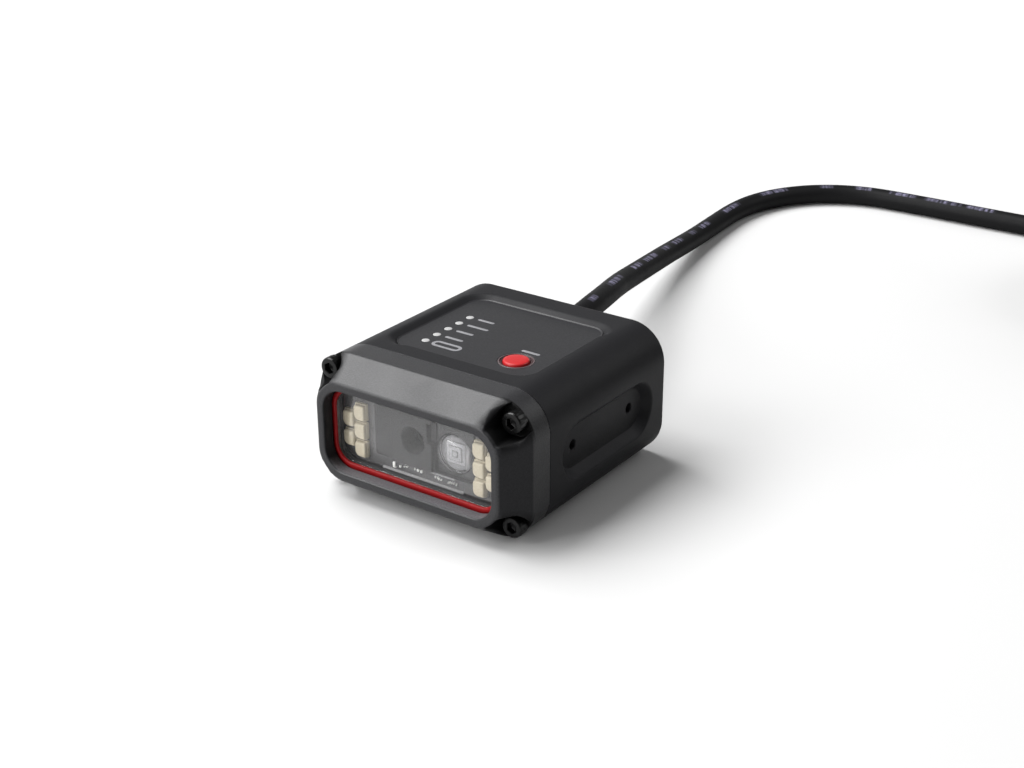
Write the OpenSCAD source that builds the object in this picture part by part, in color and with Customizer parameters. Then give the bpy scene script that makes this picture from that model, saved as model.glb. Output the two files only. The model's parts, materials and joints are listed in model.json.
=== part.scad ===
// Fixed barcode reader with a tapered front bezel, a top panel with a push
// button and five indicators, and a fixed cable with a round screw connector.
// Millimetres. +Z is up, the window looks along -Y, the origin is at the middle
// of the underside of the body.

/* [Body] */
// Width of the body
body_w = 63.2; // [62:0.2:66]
// Height of the body
body_h = 35.4; // [35:0.2:37]
// Depth of the body from the face ring to the back
body_d = 66; // [65:0.2:70]
// Radius of the four long edges
corner_r = 9.8; // [9:0.1:10]
// Rounding of the back edge
back_fillet = 1.5; // [1:0.5:3]

/* [Bezel] */
// Width of the face ring
front_w = 54; // [53:0.5:55]
// Height of the face ring
front_h = 26; // [25:0.5:27]
// Corner radius of the face ring
front_r = 7.5; // [7:0.5:8]
// Length of the tapered part
taper_len = 7.5; // [7:0.1:8]
// Length of the collar behind the taper
collar_len = 6.8; // [6:0.1:8]
// Width of the window opening
open_w = 49.9; // [48:0.1:50]
// Height of the window opening
open_h = 21.6; // [20:0.1:22]
// Depth of the opening in front of the gasket
open_depth = 3.4; // [3:0.1:4]

/* [Fasteners] */
// Distance between the bezel screws, across
screw_dx = 54; // [53:0.5:55]
// Distance between the bezel screws, upwards
screw_dz = 26.6; // [26:0.2:27]
// Radius of the screw pockets
pocket_r = 4.2; // [3.5:0.1:4.4]
// Distance between the two holes on each side
side_pitch = 25; // [20:1:26]
// Radius of the tapped side holes
side_hole_r = 1.25; // [1:0.05:1.5]
// Depth of the side recesses
side_recess = 2.3; // [1.5:0.1:2.5]

/* [Top panel] */
// Width of the panel
panel_w = 41; // [38:0.5:42]
// Length of the panel
panel_l = 37.2; // [36:0.2:38]
// Depth of the panel's face below the top
panel_sink = 1; // [0.6:0.1:1.2]
// Distance between indicators
dot_pitch = 4.55; // [4:0.05:4.8]
// Radius of each indicator
dot_r = 1; // [0.8:0.1:1.2]
// Radius of the push button
button_r = 3.3; // [3:0.1:3.3]
// Travel of the push button
button_travel = 0.4; // [0.2:0.1:0.5]

/* [Cable] */
// Diameter of the cable
cable_d = 6.8; // [6:0.1:7]
// Radius of the coil at the middle of its turns
coil_r = 35; // [34:1:40]

/* [Hidden] */
$fn = 64;

zc = body_h / 2;
yf = -32.7;
yb = yf + body_d;
y_taper = yf + taper_len;
y_seam = y_taper + collar_len;

// inner space of the housing
cav_w = 48;
cav_h = 27;
cav_r = 6;
cav_top = zc + cav_h / 2;
cav_bot = zc - cav_h / 2;
cav_back = yb - 3;

// bezel screws: socket heads sit in the pockets
head_r = 2.75;
head_h = 3;
seat_y = yf + 8.2;
screw_r = 1.5;
screw_end = seat_y + 15.5;

// window stack, measured back from the face
gasket_y0 = yf + open_depth;
gasket_y1 = gasket_y0 + 2.8;
glass_y0 = gasket_y0 + 0.55;
glass_y1 = glass_y0 + 1.5;
seat_w = open_w + 1.6;
seat_h = open_h + 1.6;

// side recess
recess_y = 6.8;
recess_z = zc - 0.4;
recess_r0 = 7.5;
recess_r1 = 5.4;
recess_x = body_w / 2 - side_recess;

// top panel
panel_y = 5.8;
panel_t = 0.8;
panel_z = body_h - panel_sink;
dot_x = -13.85;
dot_y = 2.7;
button_x = 11.8;
button_y = -4;
button_bore = button_r + 0.1;

// camera and aimer axes
lens_x = -2.6;
lens_z = zc + 0.3;
aim_x = 8.3;
aim_z = zc - 1;
aim_r = 5.1;
led_y = yf + 7.7;
led_cols = [-22.4, -18.9, 17, 20.7];
led_z = zc - 1.6;

// boards
main_z = 8.6;
pcb = 1.2;
ind_z = 24.4;
post_x = 20.3;
post_y = [-9, 17];
stand_x = 18;
stand_y = [-4, 23];
stand_z = cav_bot + 0.7;

// cable exit and route
exit_x = -10;
exit_z = 20;
cable_r = cable_d / 2;
boot_end = yb + 14.3;
coil_c = [110, 255 - coil_r - cable_r];
coil_z0 = 1;
coil_z1 = coil_z0 + 3 * cable_d;
route = [[exit_x, 27, exit_z], [exit_x, 33, exit_z], [exit_x, 40, exit_z], [exit_x, 47, exit_z],
  [-10.8, 57, 20], [-12.9, 66.6, 19.6], [-15.4, 76, 18.5], [-18.9, 87, 16.9],
  [-22.4, 98, 15.1], [-28.2, 119.3, 11.5], [-34.9, 147.3, 7.4], [-39.6, 173.5, 4.5],
  [-42.6, 196, 3.5], [-43.6, 212, 3.4], [-41.4, 226, 3.4], [-35, 239, 3.4], [-25, 248.6, 3.4],
  [-12, 254, 3.4], [3, 255, 3.4], [25, 255, 3.4], [52, 255, 3.4], [78, 255, 3.7], [98, 255, 4.2]];

// connector on top of the coil
conn_turn = -120;
conn_v = 27;
conn_u = -3;
conn_r = 7.6;
conn_z = coil_z1 + conn_r;
tail = [[-13.4, -28.6, 18.1], [-22.3, -22.3, 18.6], [-28.6, -13.4, 19.6], [-31.3, -4.4, 21.2],
  [-30.7, 7, 23.4], [-26.7, 15.5, 25.7], [-20.1, 22.1, 27.6], [-12.5, 25.8, 28.7],
  [conn_u, conn_v, conn_z]];

// ---- shared shapes ----

module rrect(w, h, r) {
  square([w - 2 * r, h], center = true);
  square([w, h - 2 * r], center = true);
  for (i = [-1, 1], j = [-1, 1]) translate([i * (w / 2 - r), j * (h / 2 - r)]) circle(r);
}

// rounded rectangle across X and Z, run along Y
module bar_y(w, h, r, y0, y1, x = 0, z = zc) {
  translate([x, y1, z]) rotate([90, 0, 0]) linear_extrude(y1 - y0) rrect(w, h, r);
}

module rod_y(x, z, r, y0, y1) {
  translate([x, y1, z]) rotate([90, 0, 0]) cylinder(r = r, h = y1 - y0);
}

module block(x0, x1, y0, y1, z0, z1) {
  translate([x0, y0, z0]) cube([x1 - x0, y1 - y0, z1 - z0]);
}

// profile of radius against depth, turned about a line along Y
module turn_y(x, z, y) {
  translate([x, y, z]) rotate([-90, 0, 0]) rotate_extrude() children();
}

module at_screws() {
  for (i = [-1, 1], j = [-1, 1]) translate([i * screw_dx / 2, 0, zc + j * screw_dz / 2]) children();
}

module at_posts() { for (i = [-1, 1], y = post_y) translate([i * post_x, y, 0]) children(); }
module at_stands() { for (i = [-1, 1], y = stand_y) translate([i * stand_x, y, 0]) children(); }
module at_dots() { for (i = [-2:2]) translate([dot_x, dot_y + i * dot_pitch, 0]) children(); }

// ---- tube swept along a route ----

function unit(v) = v / norm(v);
function spline(a, b, c, d, t) = 0.5 * (2 * b + (c - a) * t + (2 * a - 5 * b + 4 * c - d) * t * t
  + (3 * b - a - 3 * c + d) * t * t * t);
function finer(p) = let (n = len(p)) concat([for (i = [0:n - 2], t = [0, 0.5])
  spline(p[max(i - 1, 0)], p[i], p[i + 1], p[min(i + 2, n - 1)], t)], [p[n - 1]]);
function along(p, i) = unit(p[min(i + 1, len(p) - 1)] - p[max(i - 1, 0)]);
function across(p, i) = unit(cross(along(p, i), [0, 0, 1]));
function ring(p, i, r, n) = let (t = along(p, i), s = across(p, i), u = cross(s, t))
  [for (k = [0:n - 1]) p[i] + r * (cos(360 * k / n) * s + sin(360 * k / n) * u)];

module tube(p, r, n = 12) {
  m = len(p);
  polyhedron(
    points = [for (i = [0:m - 1]) each ring(p, i, r, n)],
    faces = concat([[for (k = [n - 1:-1:0]) k]], [[for (k = [0:n - 1]) (m - 1) * n + k]],
      [for (i = [0:m - 2], k = [0:n - 1]) [i * n + k, i * n + (k + 1) % n,
        (i + 1) * n + (k + 1) % n, (i + 1) * n + k]]),
    convexity = 10);
}

// ---- housing and front ----

module side_pocket() {
  hull() for (d = [[recess_x, recess_r1], [body_w / 2 + 0.01, recess_r0]], j = [-1, 1])
    translate([d[0], recess_y + j * side_pitch / 2, recess_z]) rotate([0, 90, 0])
      cylinder(r = d[1], h = 0.4, $fn = 32);
}

module panel_pocket() {
  translate([0, panel_y, panel_z - panel_t]) linear_extrude(panel_t + 0.01) rrect(panel_w, panel_l, 5);
  hull() {
    translate([0, panel_y, panel_z]) linear_extrude(0.01) rrect(panel_w, panel_l, 5, $fn = 32);
    translate([0, panel_y, body_h]) linear_extrude(0.4) rrect(panel_w + 0.7, panel_l + 0.7, 5.35, $fn = 32);
  }
}

module main_housing() {
  color("#2a2a2d") difference() {
    union() {
      difference() {
        union() {
          bar_y(body_w, body_h, corner_r, y_seam, yb - back_fillet);
          hull() for (a = [0, 30, 60, 90])
            bar_y(body_w - 2 * back_fillet * (1 - cos(a)), body_h - 2 * back_fillet * (1 - cos(a)),
              corner_r - back_fillet * (1 - cos(a)),
              yb - back_fillet - 0.5, yb - back_fillet + max(back_fillet * sin(a), 0.01), $fn = 48);
        }
        bar_y(cav_w, cav_h, cav_r, y_seam - 1, cav_back);
      }
      at_posts() translate([0, 0, ind_z + pcb]) cylinder(r = 2, h = cav_top - ind_z - pcb + 0.5);
      at_stands() translate([0, 0, cav_bot - 0.5]) cylinder(r = 2.6, h = stand_z - cav_bot + 0.5);
    }
    for (m = [0, 1]) mirror([m, 0, 0]) {
      side_pocket();
      for (j = [-1, 1]) translate([cav_w / 2 + 0.7, recess_y + j * side_pitch / 2, zc])
        rotate([0, 90, 0]) cylinder(r = side_hole_r, h = 6);
    }
    panel_pocket();
    at_dots() translate([0, 0, cav_top - 1]) cylinder(r = dot_r + 0.05, h = 6);
    translate([button_x, button_y, cav_top - 1]) cylinder(r = button_bore, h = 6);
    at_posts() translate([0, 0, ind_z]) cylinder(r = 1, h = 5.4);
    at_screws() rod_y(0, 0, screw_r, y_seam - 1, screw_end + 0.5);
    difference() {
      bar_y(51.8, 30.8, 7.9, y_seam - 1, y_seam + 1.2);
      bar_y(49.6, 28.6, 6.8, y_seam - 2, y_seam + 2);
    }
    rod_y(exit_x, exit_z, 5, cav_back - 1, yb + 1);
  }
}

module front_bezel() {
  color("#55555a") difference() {
    union() {
      difference() {
        union() {
          hull() {
            bar_y(front_w, front_h, front_r, yf, yf + 0.3, $fn = 48);
            bar_y(body_w, body_h, corner_r, y_taper - 0.02, y_taper + 0.2, $fn = 48);
          }
          bar_y(body_w, body_h, corner_r, y_taper, y_seam);
        }
        at_screws() rod_y(0, 0, pocket_r, yf - 1, seat_y);
      }
      bar_y(front_w, front_h, front_r, yf, seat_y + 0.5);
    }
    bar_y(open_w, open_h, 5.7, yf - 1, gasket_y0 + 1);
    bar_y(seat_w, seat_h, 6.5, gasket_y0, gasket_y1);
    bar_y(50, 20.5, 4, gasket_y1 - 0.1, yf + 9.6);
    bar_y(cav_w, cav_h, cav_r, yf + 9.5, y_seam + 1);
    at_screws() rod_y(0, 0, screw_r + 0.15, yf, y_seam + 1);
  }
}

module housing_seal() {
  color("#1d1d1f") difference() {
    bar_y(51.8, 30.8, 7.9, y_seam, y_seam + 1.2);
    bar_y(49.6, 28.6, 6.8, y_seam - 1, y_seam + 2);
  }
}

module window_gasket() {
  color("#b3131a") difference() {
    bar_y(seat_w, seat_h, 6.5, gasket_y0, gasket_y1);
    bar_y(46.8, 18, 4.3, gasket_y0 - 1, glass_y0 + 0.5);
    bar_y(48.8, 20.2, 5, glass_y0, glass_y1);
    bar_y(48.2, 19.6, 4.7, glass_y1 - 0.5, gasket_y1 + 1);
  }
}

module window_glass() { color("#9fb4b8") bar_y(48.8, 20.2, 5, glass_y0, glass_y1); }

module front_screws() {
  color("#161618") at_screws() difference() {
    union() {
      rod_y(0, 0, head_r, seat_y - head_h, seat_y);
      rod_y(0, 0, screw_r, seat_y - 0.5, screw_end);
    }
    translate([0, seat_y - head_h + 1.5, 0]) rotate([90, 0, 0]) cylinder(r = 1.44, h = 3, $fn = 6);
  }
}

// ---- top panel, indicators and button ----

module top_panel() {
  color("#454548") translate([0, 0, panel_z - panel_t]) difference() {
    translate([0, panel_y, 0]) linear_extrude(panel_t) rrect(panel_w, panel_l, 5);
    translate([0, 0, -1]) {
      at_dots() cylinder(r = dot_r + 0.05, h = 3);
      translate([button_x, button_y, 0]) cylinder(r = 4.55, h = 3);
    }
  }
}

module light_pipe() {
  color("#f2f2f0") {
    at_dots() translate([0, 0, ind_z + pcb + 0.9]) cylinder(r = dot_r, h = panel_z - ind_z - pcb - 0.9);
    block(dot_x - 1.6, dot_x + 1.6, dot_y - 2.3 * dot_pitch, dot_y + 2.3 * dot_pitch, cav_top - 1.8, cav_top);
  }
}

module button_cap() {
  color("#d8262c") translate([button_x, button_y, 30]) rotate_extrude() polygon([[0, 0], [4.3, 0],
    [4.3, 0.8], [button_r, 0.8], [button_r, 4.3], [button_r - 0.15, 4.6], [button_r - 0.5, 4.77],
    [button_r - 1.2, 4.86], [0, 4.9]]);
}

module button_seal() {
  color("#3a1517") translate([button_x, button_y, panel_z - panel_t]) difference() {
    cylinder(r = 4.5, h = panel_t - 0.15);
    translate([0, 0, -1]) cylinder(r = button_bore, h = 3);
  }
}

module switch_body() {
  color("#202022") difference() {
    block(button_x - 3, button_x + 3, button_y - 3, button_y + 3, ind_z + pcb, 28.4);
    translate([button_x, button_y, 27.4 - button_travel]) cylinder(r = 1.7, h = 3);
  }
}

module switch_plunger() { color("#c9c9c4") translate([button_x, button_y, 27.6]) cylinder(r = 1.6, h = 2.4); }

module indicator_board() {
  color("#1f5a3a") translate([0, 4, ind_z]) difference() {
    linear_extrude(pcb) rrect(46, 30, 1.5);
    translate([0, -4, -1]) at_posts() cylinder(r = 1.1, h = 4);
  }
}

module indicator_leds() {
  color("#e8e4d2") at_dots() translate([-0.8, -0.8, ind_z + pcb]) cube([1.6, 1.6, 0.8]);
}

module indicator_screws() {
  color("#8c8f94") at_posts() {
    translate([0, 0, ind_z - 1.3]) cylinder(r = 1.9, h = 1.3);
    translate([0, 0, ind_z - 0.2]) cylinder(r = 1, h = 4.8);
  }
}

// ---- illumination, camera and aimer ----

module led_board() {
  color("#3b3d40") difference() {
    bar_y(49.6, 20, 3.6, led_y, led_y + pcb);
    block(-15.2, 15.2, led_y - 1, led_y + 3, zc - 7, zc + 8.6);
  }
}

module illumination_leds() {
  color("#e3decb") for (c = led_cols, k = [0:2]) if (abs(c) < 20 || k < 2)
    translate([c, led_y, led_z + (abs(c) < 20 ? 4.9 * (k - 1) : 5.2 * (k - 0.5))]) rotate([90, 0, 0]) {
      translate([-1.7, -2.2, 0]) cube([3.4, 4.4, 0.9]);
      translate([0, 0, 0.8]) cylinder(r1 = 1.65, r2 = 1.5, h = 1.1);
    }
}

module optics_shroud() {
  color("#6c6c70") difference() {
    union() {
      block(-14.9, 14.9, yf + 7.1, yf + 11.7, zc - 6.8, zc + 8.4);
      block(-9.4, 3, yf + 6.3, yf + 8, zc - 6.8, zc + 8.4);
      block(-18, 18, led_y + pcb, led_y + pcb + 1.5, zc - 8.9, zc + 9.4);
    }
    rod_y(lens_x, lens_z, 3.4, yf, yf + 20);
    rod_y(aim_x, aim_z, aim_r + 0.1, yf, yf + 20);
  }
}

module lens_barrel() {
  color("#151517") difference() {
    rod_y(lens_x, lens_z, 4.4, yf + 11.7, yf + 20);
    rod_y(lens_x, lens_z, 3.2, yf + 11, yf + 13.4);
    rod_y(lens_x, lens_z, 2.6, yf + 13, yf + 17.4);
    rod_y(lens_x, lens_z, 3.2, yf + 17.2, yf + 21);
  }
}

module lens_disc(y, t, bulge, r) {
  turn_y(lens_x, lens_z, y) polygon(concat([[0, -bulge]],
    [for (a = [1:6]) [r * a / 6, -bulge * (1 - a * a / 36)]],
    [for (a = [6:-1:1]) [r * a / 6, t + bulge * (1 - a * a / 36)]], [[0, t + bulge]]));
}

module front_lens() { color("#31404a") lens_disc(yf + 12.4, 0.8, 0.5, 3.2); }
module rear_lens() { color("#31404a") lens_disc(yf + 17.4, 0.9, 0.4, 3.2); }

module lens_holder() {
  color("#1b1b1d") difference() {
    block(lens_x - 6.5, lens_x + 5.5, yf + 14.5, yf + 22, lens_z - 6.5, lens_z + 6.2);
    rod_y(lens_x, lens_z, 4.4, yf + 14, yf + 20);
    block(lens_x - 4.5, lens_x + 4.5, yf + 19.9, yf + 23, lens_z - 4, lens_z + 4);
  }
}

module image_sensor() {
  color("#20342c") block(lens_x - 3.5, lens_x + 3.5, yf + 21, yf + 22, lens_z - 3, lens_z + 3);
}

module sensor_board() {
  color("#1f5a3a") block(-14, 15.5, yf + 22, yf + 22 + pcb, 10, 23.6);
}

module engine_bracket() {
  y = yf + 22 + pcb;
  color("#9b9da0") difference() {
    union() {
      block(-22, 22, y, y + 1, 13.9, 22.6);
      for (m = [0, 1]) mirror([m, 0, 0]) {
        block(15, 22, y, y + 1, main_z + pcb, 14);
        block(15, 22, y, y + 9, main_z + pcb, main_z + pcb + 1);
      }
    }
    for (i = [-1, 1]) translate([i * stand_x, stand_y[0], 0]) cylinder(r = 1.4, h = 30);
  }
}

module aimer_lens() {
  color("#c9ced2") turn_y(aim_x, aim_z, yf + 6.6) polygon(concat([[0, 0]],
    [for (a = [15:15:90]) [aim_r * sin(a), 2.4 * (1 - cos(a))]], [[aim_r, 3.2], [0, 3.2]]));
}

module aimer_holder() {
  color("#26262a") difference() {
    rod_y(aim_x, aim_z, aim_r, yf + 9.8, yf + 22);
    rod_y(aim_x, aim_z, aim_r - 1, yf + 9, yf + 23);
  }
}

module aimer_led() {
  color("#e6e0c4") block(aim_x - 1.6, aim_x + 1.6, yf + 20.6, yf + 22, aim_z - 1.6, aim_z + 1.6);
}

// ---- boards inside ----

module board_connector() {
  color("#2b2b2e") block(-8, 8, yf + 22 + pcb, yf + 26, main_z + pcb, main_z + pcb + 3.4);
}

module main_board() {
  color("#1f5a3a") difference() {
    block(-22, 22, -8, 27, main_z, main_z + pcb);
    at_stands() cylinder(r = 1.4, h = 30);
  }
}

module board_standoffs() {
  color("#b79a4e") at_stands() difference() {
    translate([0, 0, stand_z]) cylinder(r = 2.3, h = main_z - stand_z, $fn = 6);
    translate([0, 0, stand_z + 0.5]) cylinder(r = 1.25, h = 10);
  }
}

module board_screws() {
  color("#8c8f94") for (i = [-1, 1], k = [0, 1])
    translate([i * stand_x, stand_y[k], main_z + pcb + (k == 0 ? 1 : 0)]) {
      cylinder(r = 2.1, h = 1.6);
      translate([0, 0, -4.2]) cylinder(r = 1.25, h = 4.6);
    }
}

module processor() { color("#18181a") block(-7, 7, 1, 15, main_z + pcb, main_z + pcb + 1.6); }
module memory_chip() { color("#18181a") block(9, 15, 2, 12, main_z + pcb, main_z + pcb + 1.2); }
module power_inductor() { color("#5b5b5e") block(-16.5, -10.5, 2, 8, main_z + pcb, main_z + pcb + 3.2); }

module capacitors() {
  color("#b9bcc0") for (y = [12, 16.2]) translate([-13.5, y - 0.6, main_z + pcb]) cylinder(r = 2, h = 5.4);
}

module heat_pad() { color("#8f9aa3") block(-7, 7, 1, 15, cav_bot, main_z); }
module buzzer() { color("#151517") translate([12, 19, main_z + pcb]) cylinder(r = 4.4, h = 3.6); }
module io_board() { color("#1f5a3a") block(-22, 6, 20.4, 21.6, 12.4, 23.8); }
module io_connector() { color("#2b2b2e") block(-11, 5, 19.4, 22.6, main_z + pcb, 12.4); }
module cable_header() { color("#d8d4c4") block(exit_x - 4.4, exit_x + 4.4, 21.6, 24.4, 16, 23.6); }
module inner_plug() { color("#e2dfd2") block(exit_x - 3.9, exit_x + 3.9, 24.4, 27, 16.2, 23.4); }
module led_flex() { color("#b4793a") block(-8, 8, led_y + pcb, -8, 8.2, 8.5); }

module ribbon_cable() {
  color("#d9d6cc") block(21.2, 21.5, 4, 14, main_z + pcb, ind_z);
}

// ---- cable ----

module cable_boot() {
  color("#1c1c1e") turn_y(exit_x, exit_z, 0) polygon([[cable_r, 27.7], [7, 27.7], [7, 29], [5, 29],
    [5, yb], [6.4, yb], [6.4, yb + 1.8], [5.9, yb + 2.4], [4.6, boot_end - 0.6],
    [4.2, boot_end], [cable_r, boot_end]]);
}

module boot_seal() {
  color("#141416") difference() {
    rod_y(exit_x, exit_z, 7, 29, cav_back);
    rod_y(exit_x, exit_z, 5, 28, cav_back + 1);
  }
}

module cable() { color("#1a1a1c") tube(finer(route), cable_r); }

module at_coil() { translate([coil_c[0], coil_c[1], 0]) children(); }
module at_conn() { at_coil() rotate([0, 0, conn_turn]) children(); }

module cable_coil() {
  color("#1a1a1c") at_coil() rotate_extrude() translate([coil_r - cable_d, coil_z0])
    square([2 * cable_d, coil_z1 - coil_z0]);
}

module cable_tail() { color("#1a1a1c") at_conn() tube(finer(tail), cable_r); }

module coil_tie() {
  color("#111113") at_coil() rotate([0, 0, -145]) rotate_extrude(angle = 20) difference() {
    translate([coil_r - cable_d - 1, 0]) square([2 * cable_d + 2, coil_z1 + 1]);
    translate([coil_r - cable_d, coil_z0]) square([2 * cable_d, coil_z1 - coil_z0]);
  }
}

// the connector's own line runs along +X from the cable end
module on_conn() {
  at_conn() translate([conn_u, conn_v, conn_z]) rotate([0, 90, 0]) children();
}

module connector_body() {
  color("#1c1c1e") on_conn() rotate_extrude() polygon([[0, 0], [4.1, 0], [4.6, 0.8], [5.8, 12],
    [7.2, 13.5], [conn_r, 14.5], [conn_r, 29], [7, 30], [5.12, 30], [5.12, 33.4], [5.5, 33.4],
    [5.5, 34.4], [0, 34.4]]);
}

module connector_insert() {
  color("#2b2b2e") on_conn() difference() {
    translate([0, 0, 34.4]) cylinder(r = 4.4, h = 9.6);
    for (a = [0:45:315]) rotate([0, 0, a]) translate([2.8, 0, 40]) cylinder(r = 0.5, h = 6);
  }
}

module coupling_nut() {
  color("#b5b8bc") on_conn() rotate_extrude() polygon([[5.2, 30.4], [6.9, 30.4], [7.1, 30.8],
    [7.1, 43.4], [6.8, 44], [5.9, 44], [5.8, 43.8], [5.8, 33], [5.2, 33]]);
}

main_housing();
front_bezel();
housing_seal();
window_gasket();
window_glass();
front_screws();
top_panel();
light_pipe();
button_cap();
button_seal();
switch_body();
switch_plunger();
indicator_board();
indicator_leds();
indicator_screws();
led_board();
illumination_leds();
optics_shroud();
lens_barrel();
front_lens();
rear_lens();
lens_holder();
image_sensor();
sensor_board();
engine_bracket();
aimer_lens();
aimer_holder();
aimer_led();
board_connector();
main_board();
board_standoffs();
board_screws();
processor();
memory_chip();
power_inductor();
capacitors();
heat_pad();
buzzer();
io_board();
io_connector();
cable_header();
inner_plug();
led_flex();
ribbon_cable();
cable_boot();
boot_seal();
cable();
cable_coil();
cable_tail();
coil_tie();
connector_body();
connector_insert();
coupling_nut();
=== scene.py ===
"""Fixed barcode reader: the visible surfaces, in millimetres until a mesh is made."""

import json
import math

import bmesh
import bpy
import numpy as np
import openvdb as vdb
from mathutils import Matrix


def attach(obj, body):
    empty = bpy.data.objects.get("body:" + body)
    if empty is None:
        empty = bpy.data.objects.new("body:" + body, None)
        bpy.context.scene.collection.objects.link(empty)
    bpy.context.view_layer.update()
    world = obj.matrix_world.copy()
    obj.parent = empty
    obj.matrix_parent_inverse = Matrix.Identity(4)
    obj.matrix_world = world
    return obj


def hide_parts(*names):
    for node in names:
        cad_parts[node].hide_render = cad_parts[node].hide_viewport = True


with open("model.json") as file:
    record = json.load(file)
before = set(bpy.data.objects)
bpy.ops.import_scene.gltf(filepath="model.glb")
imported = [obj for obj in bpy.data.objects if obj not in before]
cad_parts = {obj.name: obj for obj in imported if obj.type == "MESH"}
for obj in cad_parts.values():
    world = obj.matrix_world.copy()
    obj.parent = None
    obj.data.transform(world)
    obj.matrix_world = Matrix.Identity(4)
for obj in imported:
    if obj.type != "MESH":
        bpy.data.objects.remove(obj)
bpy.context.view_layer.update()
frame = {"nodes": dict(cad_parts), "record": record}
scene = bpy.context.scene

MM = 0.001
ZC, YF, YB = 17.7, -32.7, 33.3
Y_TAPER, Y_SEAM = -25.2, -18.4
SEAT_Y = -24.5
SCREWS = [(i * 27.0, ZC + j * 13.3) for i in (-1, 1) for j in (-1, 1)]
DOTS = [(-13.85, 2.7 + 4.55 * i) for i in range(-2, 3)]
BUTTON = (11.8, -4.0)
LENS = (-2.6, 18.0)
AIM = (8.3, 16.7)


# ---------------------------------------------------------------- camera

cam_data = bpy.data.cameras.new("camera")
cam_data.sensor_width = 36.0
cam_data.lens = 57.72
cam_data.clip_start = 0.01
cam_data.clip_end = 50.0
camera = bpy.data.objects.new("camera", cam_data)
right = (0.81378109, 0.58116246, -0.0032459)
up = (-0.23640521, 0.33612161, 0.91166597)
back = (0.53091705, -0.74112918, 0.41091924)
place = (0.22041, -0.29699, 0.19042)
camera.matrix_world = Matrix(
    [[right[k], up[k], back[k], place[k]] for k in range(3)] + [[0, 0, 0, 1]]
)
scene.collection.objects.link(camera)
scene.camera = camera


# ---------------------------------------------------------------- mesh tools


def link(name, mesh):
    o = bpy.data.objects.new(name, mesh)
    scene.collection.objects.link(o)
    return o


def finish_piece(o, body, materials, nodes=()):
    for m in materials:
        o.data.materials.append(m)
    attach(o, body)
    if nodes:
        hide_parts(*nodes)
    return o


class Shape:
    """Closed surfaces gathered into one mesh."""

    def __init__(self):
        self.v, self.f, self.m = [], [], []

    def add(self, points, faces, mat=0):
        base = len(self.v)
        self.v += [tuple(float(c) for c in p) for p in points]
        self.f += [tuple(int(i) + base for i in f) for f in faces]
        self.m += [mat] * len(faces)

    def rings(self, rings, loop=False, caps=True, mat=0):
        """Skin a run of rings of equal length. A ring that shrinks to a point closes as a fan."""
        n = len(rings[0])
        points, faces, where = [], [], []
        for ring in rings:
            ring = np.asarray(ring, float)
            where.append(len(points))
            if np.ptp(ring, axis=0).max() < 1e-6:
                points.append(ring[0])
            else:
                points += list(ring)
        size = where[1:] + [len(points)]
        single = [size[i] - where[i] == 1 for i in range(len(rings))]
        pairs = list(zip(range(len(rings) - 1), range(1, len(rings))))
        if loop:
            pairs.append((len(rings) - 1, 0))
        for a, b in pairs:
            for k in range(n):
                q = (k + 1) % n
                if single[a]:
                    faces.append((where[a], where[b] + q, where[b] + k))
                elif single[b]:
                    faces.append((where[a] + k, where[a] + q, where[b]))
                else:
                    faces.append((where[a] + k, where[a] + q, where[b] + q, where[b] + k))
        if caps and not loop:
            if not single[0]:
                faces.append(tuple(range(where[0], where[0] + n))[::-1])
            if not single[-1]:
                faces.append(tuple(range(where[-1], where[-1] + n)))
        self.add(points, faces, mat)

    def make(self, name, angle=40.0):
        mesh = bpy.data.meshes.new(name)
        mesh.from_pydata((np.array(self.v) * MM).tolist(), [], self.f)
        mesh.polygons.foreach_set("material_index", self.m)
        bm = bmesh.new()
        bm.from_mesh(mesh)
        bmesh.ops.recalc_face_normals(bm, faces=bm.faces)
        bm.to_mesh(mesh)
        bm.free()
        mesh.polygons.foreach_set("use_smooth", [True] * len(mesh.polygons))
        mesh.set_sharp_from_angle(angle=math.radians(angle))
        mesh.update()
        return link(name, mesh)


def rr_pts(hw, hh, r, n=8):
    """Points round a rectangle with round corners."""
    r = max(r, 1e-3)
    out = []
    for cx, cy, a0 in ((hw - r, hh - r, 0), (r - hw, hh - r, 90), (r - hw, r - hh, 180), (hw - r, r - hh, 270)):
        for k in range(n + 1):
            a = math.radians(a0 + 90 * k / n)
            out.append((cx + r * math.cos(a), cy + r * math.sin(a)))
    return np.array(out)


def ring_y(hw, hh, r, y, x=0.0, z=ZC, n=8):
    p = rr_pts(hw, hh, r, n)
    return np.stack([x + p[:, 0], np.full(len(p), y), z + p[:, 1]], 1)


def ring_z(hw, hh, r, z, x=0.0, y=0.0, n=8):
    p = rr_pts(hw, hh, r, n)
    return np.stack([x + p[:, 0], y + p[:, 1], np.full(len(p), z)], 1)


def slab(t0, t1, e, steps=3):
    """(inset, height) of a slab's edge, rounded by e at both ends."""
    a = [math.pi / 2 * k / steps for k in range(steps + 1)]
    first = [(e * (1 - math.sin(q)), t0 + e * (1 - math.cos(q))) for q in a]
    return first + [(i, t1 + t0 - t) for i, t in reversed(first)]


def block_y(shape, x0, x1, y0, y1, z0, z1, r=0.3, e=0.15, mat=0, n=4):
    """Rounded block whose flat faces look along Y."""
    hw, hh = (x1 - x0) / 2, (z1 - z0) / 2
    shape.rings([ring_y(hw - i, hh - i, max(r - i, 0.02), t, (x0 + x1) / 2, (z0 + z1) / 2, n)
                 for i, t in slab(y0, y1, e)], mat=mat)


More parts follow.
